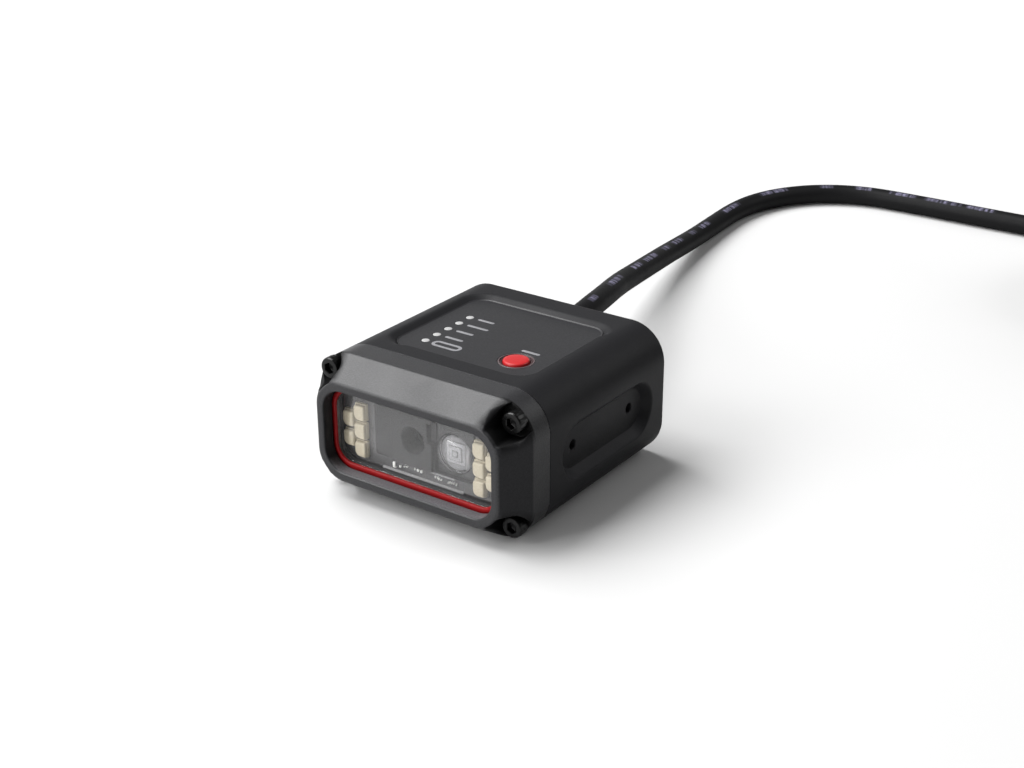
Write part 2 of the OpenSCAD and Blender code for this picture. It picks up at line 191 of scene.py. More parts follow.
def block_z(shape, x0, x1, y0, y1, z0, z1, r=0.3, e=0.1, mat=0, n=4):
    hw, hh = (x1 - x0) / 2, (y1 - y0) / 2
    shape.rings([ring_z(hw - i, hh - i, max(r - i, 0.02), t, (x0 + x1) / 2, (y0 + y1) / 2, n)
                 for i, t in slab(z0, z1, e, 2)], mat=mat)


def along_y(x, z):
    return lambda a, b, c: np.stack([x + a, c + 0 * a, z + b], 1)


def along_z(x, y):
    return lambda a, b, c: np.stack([x + a, y + b, c + 0 * a], 1)


def lathe(profile, to, n=64, ripple=None):
    """Rings of a turned profile of (radius, height); to maps local points into the frame."""
    t = np.linspace(0, 2 * math.pi, n, endpoint=False)
    out = []
    for i, (r, h) in enumerate(profile):
        k = r * np.ones(n) if ripple is None else r + ripple(i, r, h, t)
        out.append(to(k * np.cos(t), k * np.sin(t), np.full(n, float(h))))
    return out


def rounded_profile(points, radii, steps=4):
    """A polyline whose corners are rounded by the given radii."""
    out = []
    for i, (p, r) in enumerate(zip(points, radii)):
        if r <= 0 or i in (0, len(points) - 1):
            out.append(tuple(p))
            continue
        a, b, c = (np.array(q, float) for q in (points[i - 1], p, points[i + 1]))
        u, w = (a - b) / np.linalg.norm(a - b), (c - b) / np.linalg.norm(c - b)
        r = min(r, 0.45 * np.linalg.norm(a - b), 0.45 * np.linalg.norm(c - b))
        s, e = b + u * r, b + w * r
        for k in range(steps + 1):
            q = k / steps
            out.append(tuple((1 - q) ** 2 * s + 2 * q * (1 - q) * b + q * q * e))
    return out


# ---------------------------------------------------------------- solids by distance


def rr(a, b, hw, hh, r):
    qa, qb = np.abs(a) - (hw - r), np.abs(b) - (hh - r)
    return np.sqrt(np.maximum(qa, 0) ** 2 + np.maximum(qb, 0) ** 2) + np.minimum(np.maximum(qa, qb), 0) - r


def both(a, b, r=0.0):
    if np.ndim(r) == 0 and r <= 0:
        return np.maximum(a, b)
    return np.minimum(np.maximum(a, b), -r) + np.sqrt(np.maximum(a + r, 0) ** 2 + np.maximum(b + r, 0) ** 2)


def either(a, b, r=0.0):
    return -both(-a, -b, r)


def minus(a, b, r=0.0):
    return both(a, -b, r)


def disc(a, b, r):
    return np.sqrt(a * a + b * b) - r


def solid(name, f, lo, hi, h, adapt=0.0, to=None):
    """Mesh of f = 0, its points drawn onto the surface and its normals taken from f."""
    lo = np.array(lo, float)
    n = np.ceil((np.array(hi, float) - lo) / h).astype(int) + 1
    axes = [(lo[k] + h * np.arange(n[k])).astype(np.float32) for k in range(3)]
    field = np.empty(tuple(n), np.float32)
    for i in range(0, n[0], 24):
        field[i:i + 24] = f(axes[0][i:i + 24, None, None], axes[1][None, :, None], axes[2][None, None, :])
    np.clip(field, -3 * h, 3 * h, out=field)
    grid = vdb.FloatGrid(3 * h)
    grid.copyFromArray(field)
    grid.transform = vdb.createLinearTransform(voxelSize=h)
    points, tris, quads = grid.convertToPolygons(isovalue=0.0, adaptivity=adapt)
    p = points.astype(float) + lo

    def value(q):
        return f(q[:, 0], q[:, 1], q[:, 2])

    def slope(q, e=0.02):
        g = np.empty_like(q)
        for k in range(3):
            d = np.zeros(3)
            d[k] = e
            g[:, k] = (value(q + d) - value(q - d)) / (2 * e)
        return g

    for _ in range(4):
        g = slope(p)
        step = (value(p) / np.maximum((g * g).sum(1), 0.2))[:, None] * g
        far = np.linalg.norm(step, axis=1, keepdims=True)
        p = p - step * np.minimum(1, 0.5 * h / np.maximum(far, 1e-9))
    g = slope(p)
    g /= np.maximum(np.linalg.norm(g, axis=1, keepdims=True), 1e-9)
    q0, q1, q2 = p[quads[:, 0]], p[quads[:, 1]], p[quads[:, 2]]
    if (np.cross(q1 - q0, q2 - q0) * g[quads[:, 0]]).sum() < 0:
        quads, tris = quads[:, ::-1], tris[:, ::-1]
    if to is not None:
        g = to(p + g) - to(p)
        p = to(p)
    mesh = bpy.data.meshes.new(name)
    mesh.from_pydata((p * MM).tolist(), [], quads.tolist() + tris.tolist())
    mesh.polygons.foreach_set("use_smooth", [True] * len(mesh.polygons))
    mesh.update()
    mesh.normals_split_custom_set_from_vertices(g.tolist())
    return link(name, mesh)


# ---------------------------------------------------------------- materials


def lin(code):
    c = [int(code[i:i + 2], 16) / 255 for i in (1, 3, 5)]
    return np.array([x / 12.92 if x <= 0.04045 else ((x + 0.055) / 1.055) ** 2.4 for x in c])


class Look:
    """A node material."""

    def __init__(self, name):
        self.m = bpy.data.materials.new(name)
        self.m.use_nodes = True
        self.t = self.m.node_tree
        self.t.nodes.clear()
        self.out = self.add("ShaderNodeOutputMaterial")
        self.coords = self.add("ShaderNodeTexCoord").outputs["Object"]

    def add(self, kind, **values):
        n = self.t.nodes.new(kind)
        for k, v in values.items():
            setattr(n, k, v)
        return n

    def wire(self, source, target):
        self.t.links.new(source, target)

    def put(self, socket, value):
        if isinstance(value, bpy.types.NodeSocket):
            self.wire(value, socket)
        else:
            socket.default_value = value

    def noise(self, scale, detail=3.0, rough=0.6, coords=None):
        n = self.add("ShaderNodeTexNoise")
        n.inputs["Scale"].default_value = scale
        n.inputs["Detail"].default_value = detail
        n.inputs["Roughness"].default_value = rough
        self.wire(coords or self.coords, n.inputs["Vector"])
        return n.outputs[0]

    def remap(self, value, a, b, c, d):
        n = self.add("ShaderNodeMapRange")
        self.wire(value, n.inputs[0])
        for i, x in zip((1, 2, 3, 4), (a, b, c, d)):
            n.inputs[i].default_value = x
        return n.outputs[0]

    def math(self, op, a, b=0.0, c=0.0):
        n = self.add("ShaderNodeMath", operation=op)
        for i, x in enumerate((a, b, c)):
            self.put(n.inputs[i], x)
        return n.outputs[0]

    def mix(self, fac, a, b):
        n = self.add("ShaderNodeMix", data_type="RGBA")
        self.put(n.inputs[0], fac)
        for socket, x in ((n.inputs[6], a), (n.inputs[7], b)):
            self.put(socket, x if isinstance(x, bpy.types.NodeSocket) else (*x, 1.0))
        return n.outputs[2]

    def bump(self, height, strength, distance, normal=None):
        n = self.add("ShaderNodeBump")
        n.inputs["Strength"].default_value = strength
        n.inputs["Distance"].default_value = distance
        self.wire(height, n.inputs["Height"])
        if normal is not None:
            self.wire(normal, n.inputs["Normal"])
        return n.outputs[0]

    def principled(self, **values):
        n = self.add("ShaderNodeBsdfPrincipled")
        for k, v in values.items():
            socket = n.inputs[k.replace("_", " ")]
            if not isinstance(v, bpy.types.NodeSocket) and socket.type == "RGBA":
                v = (*v, 1.0)
            self.put(socket, v)
        return n

    def done(self, shader):
        self.wire(shader.outputs[0], self.out.inputs["Surface"])
        return self.m


def finish_of(name, base, rough=0.5, spec=0.5, metal=0.0, grain=2400.0, speckle=0.14, cloud=45.0,
              cloudy=0.08, bump=0.12, depth=4e-5, rough_by=0.06, coat=0.0, coat_rough=0.1):
    """A moulded, painted or plated surface: fine speckle, slow cloudiness, bump and uneven gloss."""
    k = Look(name)
    return k.done(surface(k, base, rough, spec, metal, grain, speckle, cloud, cloudy, bump, depth, rough_by, coat, coat_rough))


def surface(k, base, rough=0.5, spec=0.5, metal=0.0, grain=2400.0, speckle=0.14, cloud=45.0, cloudy=0.08, bump=0.12,
            depth=4e-5, rough_by=0.06, coat=0.0, coat_rough=0.1):
    base = np.array(base, float)
    fine, wide = k.noise(grain, 2.0), k.noise(cloud, 3.0)
    a = k.remap(fine, 0.3, 0.7, 0.0, 1.0)
    colour = k.mix(a, tuple(base * (1 - speckle)), tuple(np.minimum(base * (1 + speckle), 1)))
    b = k.remap(wide, 0.3, 0.7, 0.0, 1.0)
    colour2 = k.mix(a, tuple(base * (1 - speckle) * (1 - cloudy)), tuple(np.minimum(base * (1 + speckle) * (1 + cloudy), 1)))
    colour = k.mix(b, colour, colour2)
    gloss = k.remap(wide, 0.3, 0.7, max(rough - rough_by, 0.02), min(rough + rough_by, 1.0))
    values = dict(Base_Color=colour, Roughness=gloss, Metallic=metal, Specular_IOR_Level=spec)
    if bump > 0:
        values["Normal"] = k.bump(fine, bump, depth)
    if coat > 0:
        values.update(Coat_Weight=coat, Coat_Roughness=coat_rough)
    return k.principled(**values)


def zoned(k, first, *zones):
    """One surface with others laid over it where their masks say."""
    for mask, other in zones:
        n = k.add("ShaderNodeMixShader")
        k.wire(mask, n.inputs[0])
        k.wire(first.outputs[0], n.inputs[1])
        k.wire(other.outputs[0], n.inputs[2])
        first = n
    return first


def dulled(k, base, share, **values):
    """A surface of which a share only scatters."""
    flat = k.add("ShaderNodeBsdfDiffuse")
    flat.inputs["Color"].default_value = (*base, 1.0)
    mask = k.remap(k.noise(2600.0, 2.0), 0.3, 0.7, share - 0.08, share + 0.08)
    return zoned(k, surface(k, base, **values), (mask, flat))


def dull_of(name, base, share, **values):
    k = Look(name)
    return k.done(dulled(k, base, share, **values))


def bezel_look():
    """Powder coat with painted light: painted shade makes the screw pockets and the taper round them black and darkens
    the right-facing sides of taper and collar; a painted highlight makes the sill under the window paler.
    """
    k = Look("bezel_paint")
    n = k.add("ShaderNodeSeparateXYZ")
    k.wire(k.coords, n.inputs[0])
    x, y, z = n.outputs
    ax, az = k.math("ABSOLUTE", x), k.math("ABSOLUTE", k.math("SUBTRACT", z, ZC * MM))
    # Painted shade: the screw pockets go black, fading out over the taper by 6.6 mm from each screw.
    dx, dz = k.math("SUBTRACT", ax, 0.027), k.math("SUBTRACT", az, 0.0133)
    far = k.math("SQRT", k.math("ADD", k.math("MULTIPLY", dx, dx), k.math("MULTIPLY", dz, dz)))
    pocket = k.math("MULTIPLY", k.remap(far, 0.0040, 0.0066, 1, 0), k.remap(y, -0.0320, -0.0314, 0, 1))
    pocket = k.math("MULTIPLY", pocket, k.remap(y, -0.0243, -0.0240, 1, 0))
    # Painted highlight: the sill under the window, inside the opening, takes the paler copy of the paint.
    sill = k.math("MULTIPLY", k.remap(z, 0.0064, 0.0067, 0, 1), k.remap(z, 0.0076, 0.0098, 1, 0))
    sill = k.math("MULTIPLY", sill, k.math("MULTIPLY", k.remap(y, -0.0325, -0.0322, 0, 1), k.remap(ax, 0.0236, 0.0248, 1, 0)))
    sill = k.math("MULTIPLY", sill, k.remap(y, -0.0290, -0.0288, 1, 0))
    # paint is the coat itself; pale carries the sill's painted highlight and black the pockets' painted shade.
    paint = surface(k, lin("#232325"), 0.44, 0.36, grain=2600, bump=0.9, depth=6e-5, speckle=0.3)
    pale = surface(k, lin("#5a5a5d"), 0.5, 0.36, grain=2600, bump=0.9, depth=6e-5, speckle=0.3)
    black = surface(k, (0.0012, 0.0012, 0.0013), 0.6, 0.12, grain=2600, bump=0.5)
    # Painted shade: faces turned towards +X lean towards a dark diffuse coat on the taper and take a darker, less
    # glossy copy of the paint on the collar.
    n = k.add("ShaderNodeSeparateXYZ")
    k.wire(k.add("ShaderNodeNewGeometry").outputs["Normal"], n.inputs[0])
    side_shade_mask = k.math("MULTIPLY", k.remap(n.outputs[0], 0.5, 0.85, 0, 0.6), k.remap(y, -0.0254, -0.0250, 1, 0))
    side_shade_bsdf = k.add("ShaderNodeBsdfDiffuse")
    side_shade_bsdf.inputs["Color"].default_value = (*lin("#1c1c1e"), 1.0)
    band = surface(k, lin("#232325") * 0.8, 0.46, 0.29, grain=2600, bump=0.9, depth=6e-5, speckle=0.3)
    edge = k.math("MULTIPLY", k.remap(n.outputs[0], 0.5, 0.85, 0, 1), k.remap(y, -0.0253, -0.0250, 0, 1))
    return k.done(zoned(k, paint, (edge, band), (side_shade_mask, side_shade_bsdf), (sill, pale), (pocket, black)))


def housing_look():
    """Powder coat, with painted shade low in the side recesses and a painted highlight on the slope under them."""
    k = Look("housing_paint")
    n = k.add("ShaderNodeSeparateXYZ")
    k.wire(k.coords, n.inputs[0])
    ax, z = k.math("ABSOLUTE", n.outputs[0]), n.outputs[2]
    g = k.add("ShaderNodeSeparateXYZ")
    k.wire(k.add("ShaderNodeNewGeometry").outputs["Normal"], g.inputs[0])
    nx = k.math("ABSOLUTE", g.outputs[0])
    # Painted highlight: the up-facing slope under each side recess takes the paler copy of the paint (pale).
    slope = k.math("MULTIPLY", k.remap(g.outputs[2], 0.4, 0.62, 0, 1), k.remap(z, 0.0160, 0.0166, 1, 0))
    slope = k.math("MULTIPLY", slope, k.remap(nx, 0.4, 0.55, 0, 1))
    # Painted shade: the floor of each side recess takes the darker copy of the paint (dark), more towards the bottom.
    low = k.math("MULTIPLY", k.remap(z, 0.0118, 0.0190, 1, 0), k.remap(nx, 0.85, 0.95, 0, 1))
    low = k.math("MULTIPLY", low, k.math("MULTIPLY", k.remap(ax, 0.0290, 0.0292, 0, 1), k.remap(ax, 0.0295, 0.0297, 1, 0)))
    same = dict(rough=0.52, spec=0.2, grain=2600, bump=0.6, depth=5e-5, speckle=0.25)
    paint = dulled(k, lin("#1a1a1c"), 0.32, **same)
    dark = dulled(k, lin("#1a1a1c") * 0.4, 0.5, **same)
    pale = dulled(k, lin("#1a1a1c") * 1.75, 0.32, **same)
    return k.done(zoned(k, paint, (low, dark), (slope, pale)))


def cover_look():
    """Grey moulding, with a painted highlight: a paler grey round the aimer lifts the shade there."""
    k = Look("grey_plastic")
    n = k.add("ShaderNodeSeparateXYZ")
    k.wire(k.coords, n.inputs[0])
    # Painted highlight: the part right of x 3.5 mm and above z 11.7 mm, round the aimer, takes the paler grey; the mask
    # named dark marks it.
    dark = k.math("MULTIPLY", k.remap(n.outputs[0], 0.0034, 0.0037, 0, 1), k.remap(n.outputs[2], 0.0115, 0.0120, 0, 1))
    first = surface(k, (0.036, 0.0355, 0.0367), 0.6, 0.1, grain=1700, bump=0.1, speckle=0.06)
    other = surface(k, (0.062, 0.0612, 0.0632), 0.6, 0.12, grain=1700, bump=0.1, speckle=0.06)
    return k.done(zoned(k, first, (dark, other)))


LOOKS = {
    "housing_paint": housing_look(),
    "bezel_paint": bezel_look(),
    "panel_film": dull_of("panel_film", lin("#242426"), 0.2, rough=0.42, spec=0.32, grain=5200, bump=0.12, depth=1e-5, speckle=0.08),
    "red_rubber": finish_of("red_rubber", lin("#c01218") * 0.4, 0.5, 0.18, grain=900, bump=0.08, speckle=0.06),
    "black_rubber": finish_of("black_rubber", lin("#1a1a1b"), 0.62, 0.35, grain=1500, bump=0.15),
    "black_steel": finish_of("black_steel", (0.0018, 0.0018, 0.0019), 0.3, 0.25, grain=1800, bump=0.08, speckle=0.2, rough_by=0.08),
    "white_light_pipe": finish_of("white_light_pipe", lin("#9c9c9c"), 0.4, 0.3, grain=1200, bump=0.02, speckle=0.02, cloudy=0.02),
    "red_button": finish_of("red_button", lin("#e0282c") * 0.49, 0.42, 0.3, grain=2600, bump=0.06, depth=2e-5, speckle=0.05, cloudy=0.04),
    "black_plastic": finish_of("black_plastic", lin("#1b1b1d"), 0.45, 0.45, grain=1900, bump=0.12),
    "grey_plastic": cover_look(),
    "pale_plastic": finish_of("pale_plastic", lin("#dcd7c8"), 0.4, 0.45, grain=1500, bump=0.06, speckle=0.05),
    "led_cream": finish_of("led_cream", lin("#f0e4c8") * 0.53, 0.4, 0.35, grain=1600, bump=0.05, speckle=0.05, cloud=500, cloudy=0.07),
    "circuit_board": finish_of("circuit_board", lin("#1f5a3a"), 0.38, 0.5, grain=900, bump=0.2, speckle=0.16, cloud=300, cloudy=0.2),
    "dark_board": finish_of("dark_board", (0.078, 0.077, 0.079), 0.5, 0.3, grain=900, bump=0.2, speckle=0.12, cloud=300, cloudy=0.12),
    "bare_steel": finish_of("bare_steel", lin("#b9bcc0"), 0.32, 0.5, 1.0, grain=1400, bump=0.1, speckle=0.08),
    "brass_hex": finish_of("brass_hex", lin("#caa85a"), 0.3, 0.5, 1.0, grain=1300, bump=0.08, speckle=0.08),
    "nickel": finish_of("nickel", lin("#c4c5c8"), 0.24, 0.5, 1.0, grain=1600, bump=0.08, speckle=0.08),
    "flex_film": finish_of("flex_film", lin("#b4793a"), 0.35, 0.5, grain=700, bump=0.05, speckle=0.1),
    "pad": finish_of("pad", lin("#8f9aa3"), 0.7, 0.3, grain=900, bump=0.2),
    "tie_strap": finish_of("tie_strap", lin("#161617"), 0.8, 0.25, grain=1500, bump=0.4, depth=1e-4, speckle=0.3),
    "print_grey": finish_of("print_grey", lin("#77777a"), 0.5, 0.3, grain=3000, bump=0.05, speckle=0.08),
    "ceramic": finish_of("ceramic", lin("#efefec"), 0.4, 0.5, grain=1500, bump=0.04, speckle=0.06),
    "coated_lens": finish_of("coated_lens", lin("#1a1b1f"), 0.06, 0.3, grain=120, bump=0.0, speckle=0.1, rough_by=0.02, coat=0.2, coat_rough=0.03),
}


def clear_look(name, tint, haze, haze_colour, ior, rough, strength, edge=0.0):
    """A thin clear sheet: light passes, a faint haze stays, and the surface mirrors by its angle."""
    k = Look(name)
    through = k.add("ShaderNodeBsdfTransparent")
    through.inputs["Color"].default_value = (*tint, 1.0)
    film = k.add("ShaderNodeBsdfDiffuse")
    wide = k.noise(160.0, 3.0)
    film_colour = k.mix(k.remap(wide, 0.3, 0.7, 0, 1), tuple(np.array(haze_colour) * 0.9), tuple(np.array(haze_colour)))
    k.wire(film_colour, film.inputs["Color"])
    body = k.add("ShaderNodeMixShader")
    body.inputs[0].default_value = haze
    # Painted highlight: faces turned towards +X carry more of the pale film, rising to the share edge.
    if edge > 0:
        n = k.add("ShaderNodeSeparateXYZ")
        k.wire(k.add("ShaderNodeNewGeometry").outputs["Normal"], n.inputs[0])
        k.wire(k.remap(n.outputs[0], 0.6, 0.85, haze, edge), body.inputs[0])
    k.wire(through.outputs[0], body.inputs[1])
    k.wire(film.outputs[0], body.inputs[2])
    mirror = k.add("ShaderNodeBsdfGlossy")
    mirror.inputs["Roughness"].default_value = rough
    fresnel = k.add("ShaderNodeFresnel")
    fresnel.inputs["IOR"].default_value = ior
    gloss = k.math("MULTIPLY", fresnel.outputs[0], strength)
    top = k.add("ShaderNodeMixShader")
    k.wire(gloss, top.inputs[0])
    k.wire(body.outputs[0], top.inputs[1])
    k.wire(mirror.outputs[0], top.inputs[2])
    return k.done(top)


LOOKS["clear_window"] = clear_look("clear_window", (0.97, 0.97, 0.97), 0.021, (0.5, 0.5, 0.51), 1.45, 0.03, 0.12)
# The aimer lens gets edge 0.85: a painted highlight whitens its faces turned towards +X.
LOOKS["clear_lens"] = clear_look("clear_lens", (0.96, 0.96, 0.97), 0.075, (0.8, 0.8, 0.82), 1.5, 0.08, 0.8, 0.85)


def cable_look():
    """Matte jacket with a slight fine grain and a pale printed run of dashes."""
    k = Look("cable_jacket")
    uv = k.add("ShaderNodeUVMap", uv_map="along")
    split = k.add("ShaderNodeSeparateXYZ")
    k.wire(uv.outputs[0], split.inputs[0])
    turn, run = split.outputs[0], split.outputs[1]
    near = k.math("ABSOLUTE", k.math("SUBTRACT", turn, 0.2))
    band = k.remap(near, 0.03, 0.055, 1.0, 0.0)

    def one(scale, detail):
        n = k.add("ShaderNodeTexNoise", noise_dimensions="1D")
        n.inputs["Scale"].default_value = scale
        n.inputs["Detail"].default_value = detail
        k.wire(run, n.inputs["W"])
        return n.outputs[0]

    marks = k.remap(one(520.0, 1.0), 0.4, 0.6, 0.1, 1.0)
    words = k.remap(one(75.0, 0.0), 0.48, 0.56, 0.0, 1.0)
    uneven = k.remap(k.noise(900.0, 2.0), 0.35, 0.65, 0.35, 1.0)
    ink = k.math("MULTIPLY", k.math("MULTIPLY", band, k.math("MULTIPLY", marks, words)), uneven)
    fine = k.noise(1500.0, 3.0)
    base = lin("#151516")
    jacket = k.mix(k.remap(fine, 0.3, 0.7, 0, 1), tuple(base * 0.8), tuple(base * 1.2))
    colour = k.mix(ink, jacket, tuple(lin("#77748a")))
    gloss = k.remap(k.noise(60.0), 0.3, 0.7, 0.42, 0.54)
    flat = k.add("ShaderNodeBsdfDiffuse")
    k.wire(colour, flat.inputs["Color"])
    shiny = k.principled(Base_Color=colour, Roughness=gloss, Specular_IOR_Level=0.2, Normal=k.bump(fine, 0.12, 4e-5))
    return k.done(zoned(k, shiny, (k.remap(fine, 0.3, 0.7, 0.56, 0.68), flat)))


LOOKS["cable_jacket"] = cable_look()


def floor_look():
    k = Look("floor")
    far = k.add("ShaderNodeVectorMath", operation="LENGTH")
    k.wire(k.coords, far.inputs[0])
    uneven = k.remap(k.noise(1.5, 2.0), 0.3, 0.7, -0.01, 0.01)
    # Painted shade: the floor is darker, 0.52, within 0.2 m of the object and lightens to 0.85 at 1 m out.
    colour = k.mix(k.math("ADD", k.remap(far.outputs["Value"], 0.2, 1.0, 0.0, 1.0), uneven), (0.52, 0.52, 0.52), (0.85, 0.85, 0.85))
    return k.done(k.principled(Base_Color=colour, Roughness=0.9, Specular_IOR_Level=0.1))


# ---------------------------------------------------------------- cable

ROUTE = [(-10, 29, 20), (-10, 33, 20), (-10, 40, 20), (-10, 47, 20), (-10.8, 57, 20), (-12.9, 66.6, 19.6),
         (-15.4, 76, 18.5), (-18.9, 87, 16.9), (-22.4, 98, 15.1), (-28.2, 119.3, 11.5), (-34.9, 147.3, 7.4),
         (-39.6, 173.5, 4.5), (-42.6, 196, 3.5), (-43.6, 212, 3.4), (-41.4, 226, 3.4), (-35, 239, 3.4),
         (-25, 248.6, 3.4), (-12, 254, 3.4), (3, 255, 3.4), (25, 255, 3.4), (52, 255, 3.4), (78, 255, 3.7),
         (98, 255, 4.2)]
TAIL = [(-13.4, -28.6, 18.1), (-22.3, -22.3, 18.6), (-28.6, -13.4, 19.6), (-31.3, -4.4, 21.2), (-30.7, 7, 23.4),
        (-26.7, 15.5, 25.7), (-20.1, 22.1, 27.6), (-12.5, 25.8, 28.7), (-3, 27, 29), (2, 27, 29)]
COIL = (110.0, 216.6)
CABLE_R = 3.4
TURN = math.radians(-120)
CONN = (-3.0, 27.0, 29.0)


def uv_to_frame(u, v, z):
    u, v = np.asarray(u, float), np.asarray(v, float)
    c, s = math.cos(TURN), math.sin(TURN)
    return np.stack([COIL[0] + c * u - s * v, COIL[1] + s * u + c * v, np.asarray(z, float) + 0 * u], -1)


def smooth_line(points, m=12):
    p = np.array(points, float)
    n, out = len(p), []
    for i in range(n - 1):
        a, b, c, d = p[max(i - 1, 0)], p[i], p[i + 1], p[min(i + 2, n - 1)]
        for t in np.arange(m) / m:
            out.append(0.5 * (2 * b + (c - a) * t + (2 * a - 5 * b + 4 * c - d) * t * t
                              + (3 * b - a - 3 * c + d) * t ** 3))
    return np.array(out + [p[-1]])


def coil_line():
    """Five turns in two columns; each turn eases into the next place before it is needed."""
    places = [(38.4, 4.4), (31.6, 4.4), (31.6, 11.2), (38.4, 11.2), (38.4, 18.0), (31.6, 18.0)]
    out = []
    for turn in np.arange(0, 4 * 360 + 325, 2.0):
        k = int(turn // 360)
        t = min(max((turn - 360 * k - (20 + 50 * (4 - k))) / 110.0, 0.0), 1.0)
        a = (1 - math.cos(math.pi * t)) / 2
        r = places[k][0] + a * (places[k + 1][0] - places[k][0])
        z = places[k][1] + a * (places[k + 1][1] - places[k][1])
        q = math.radians(90 - turn)
        out.append((COIL[0] + r * math.cos(q), COIL[1] + r * math.sin(q), z))
    return np.array(out)


def even(p, h):
    s = np.r_[0, np.cumsum(np.linalg.norm(np.diff(p, axis=0), axis=1))]
    q = np.linspace(0, s[-1], int(round(s[-1] / h)) + 1)
    return np.stack([np.interp(q, s, p[:, k]) for k in range(3)], 1)


def make_cable():
    t = np.array(TAIL, float)
    line = np.concatenate([smooth_line(ROUTE), coil_line(), smooth_line(uv_to_frame(t[:, 0], t[:, 1], t[:, 2]))[1:]])
    line = even(line, 2.4)
    for _ in range(6):
        line[1:-1] = 0.5 * line[1:-1] + 0.25 * (line[:-2] + line[2:])
    n, sides = len(line), 28
    tangent = np.gradient(line, axis=0)
    tangent /= np.linalg.norm(tangent, axis=1, keepdims=True)
    side = np.cross(tangent, [0, 0, 1])
    side /= np.linalg.norm(side, axis=1, keepdims=True)
    rise = np.cross(side, tangent)
    a = np.linspace(0, 2 * math.pi, sides, endpoint=False)
    rings = (line[:, None] + CABLE_R * (np.cos(a)[None, :, None] * side[:, None] + np.sin(a)[None, :, None] * rise[:, None]))
    run = np.r_[0, np.cumsum(np.linalg.norm(np.diff(line, axis=0), axis=1))] * MM
    faces, coords = [], []
    for i in range(n - 1):
        for k in range(sides):
            q = (k + 1) % sides
            faces.append((i * sides + k, i * sides + q, (i + 1) * sides + q, (i + 1) * sides + k))
            u0, u1 = k / sides, (k + 1) / sides
            coords += [(u0, run[i]), (u1, run[i]), (u1, run[i + 1]), (u0, run[i + 1])]
    faces.append(tuple(range(sides))[::-1])
    faces.append(tuple(range((n - 1) * sides, n * sides)))
    coords += [(0.75, run[0])] * sides + [(0.75, run[-1])] * sides
    mesh = bpy.data.meshes.new("reader_cable")
    mesh.from_pydata((rings.reshape(-1, 3) * MM).tolist(), [], faces)
    mesh.polygons.foreach_set("use_smooth", [True] * (len(faces) - 2) + [False] * 2)
    layer = mesh.uv_layers.new(name="along")
    layer.data.foreach_set("uv", np.array(coords, np.float32).ravel())
    mesh.update()
    o = link("reader_cable", mesh)
    finish_piece(o, "reader", [LOOKS["cable_jacket"]], ("cable", "cable_coil", "cable_tail"))
    return o, line * MM


cable, cable_path = make_cable()


def conn_to(a, b, c):
    """The connector's own line runs along its third coordinate."""
    return uv_to_frame(CONN[0] + c, CONN[1] + b, CONN[2] - a)


def make_boot():
    s = Shape()
    p = [(3.45, 27.7), (7.0, 27.7), (7.0, 29.0), (5.0, 29.0), (5.0, 33.32), (6.4, 33.32), (6.4, 34.9), (6.0, 35.5)]
    rad = [0, 0.2, 0.2, 0, 0, 0.15, 0.5, 0.2]
    for i in range(5):
        y = 36.1 + i * 2.1
        r = 5.85 - (y - 35.6) * 0.118
        p += [(r, y), (r - 0.75, y + 0.45), (r - 0.8, y + 0.95), (r - 0.2, y + 1.45)]
        rad += [0.3, 0.25, 0.25, 0.3]
    p += [(4.5, 46.9), (4.15, 47.6), (3.45, 47.6)]
    rad += [0.3, 0.2, 0]
    s.rings(lathe(rounded_profile(p, rad, 3), along_y(-10, 20), 56), loop=True)
    o = s.make("strain_relief", 60)
    return finish_piece(o, "reader", [LOOKS["black_rubber"]], ("cable_boot",))


def make_tie():
    s = Shape()
    outer, inner = rr_pts(7.8, 11.2, 4.3, 8), rr_pts(6.9, 10.3, 3.5, 8)
    arcs = np.radians(np.linspace(-145, -125, 15))

    def at(q, pts, grow):
        r = 35 + pts[:, 0] * grow
        return np.stack([COIL[0] + r * math.cos(q), COIL[1] + r * math.sin(q), 11.2 + pts[:, 1] * grow], 1)

    run = [at(q, outer, 0.992 if i in (0, len(arcs) - 1) else 1.0) for i, q in enumerate(arcs)]
    run += [at(q, inner, 1.0) for q in arcs[::-1]]
    s.rings(run, loop=True)
    flap = np.radians(np.linspace(-143.5, -126.5, 9))
    pts = rr_pts(3.4, 0.32, 0.3, 3)
    s.rings([np.stack([COIL[0] + (36.2 + pts[:, 0]) * math.cos(q), COIL[1] + (36.2 + pts[:, 0]) * math.sin(q),
                       22.45 + pts[:, 1]], 1) for q in flap])
    o = s.make("coil_strap", 45)
    return finish_piece(o, "reader", [LOOKS["tie_strap"]], ("coil_tie",))


